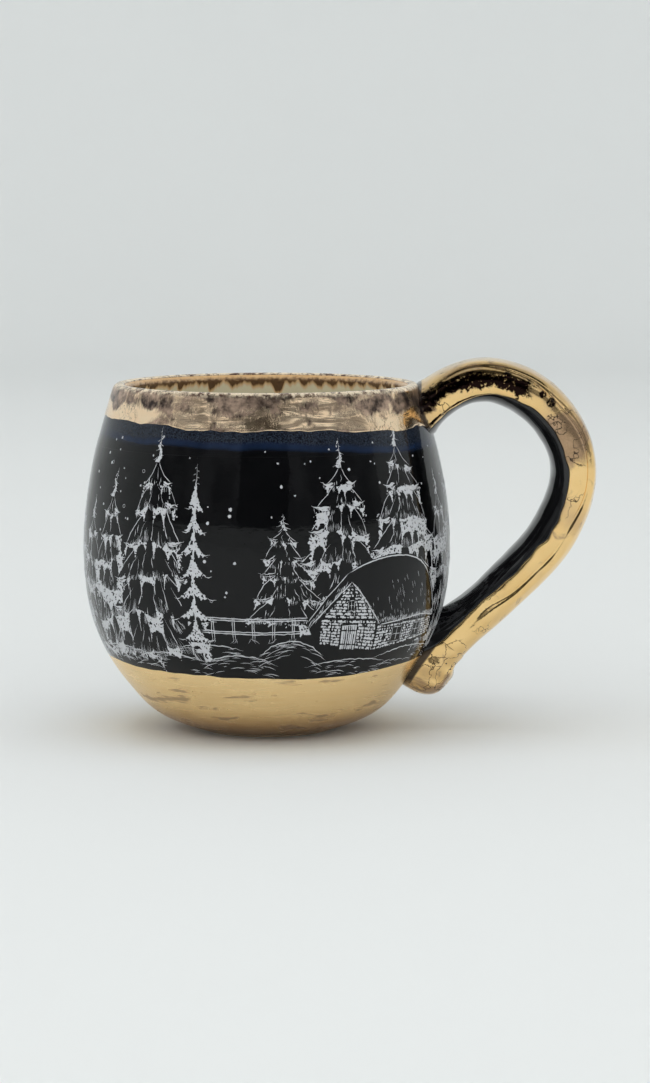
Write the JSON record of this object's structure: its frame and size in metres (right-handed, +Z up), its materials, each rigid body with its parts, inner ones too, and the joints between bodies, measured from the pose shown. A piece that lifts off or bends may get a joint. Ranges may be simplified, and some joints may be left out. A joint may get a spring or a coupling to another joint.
{
  "type": "stoneware mug",
  "caption": "Round-bellied stoneware mug with a tall pulled loop handle, gold-lustred lip, foot and handle, and a black glazed wall.",
  "frame": {"origin": "centre of the flat foot, on the surface that the mug stands on", "axes": "+Z up along the axis of the cup, +X towards the handle, so the handle lies in the XZ plane"},
  "size_m": [0.14, 0.1, 0.1014],
  "materials": {
    "fired_clay": "unglazed fired clay",
    "cream_glaze": "glossy, with brown runs",
    "body_gold_lustre": "gold lustre",
    "handle_gold_lustre": "gold lustre",
    "blue_glaze": "glossy",
    "black_glaze": "glossy"
  },
  "bodies": {
    "root": {"stoneware_body": "fired_clay", "foot_lustre_glaze": "body_gold_lustre", "black_wall_glaze": "black_glaze", "blue_glaze_band": "blue_glaze", "rim_lustre_glaze": "body_gold_lustre", "liner_glaze": "cream_glaze", "handle_strap": "fired_clay", "handle_lustre_glaze": "handle_gold_lustre", "handle_black_glaze": "black_glaze", "upper_joint_collar": "handle_gold_lustre", "lower_joint_pad": "handle_gold_lustre"}
  },
  "joints": []
}
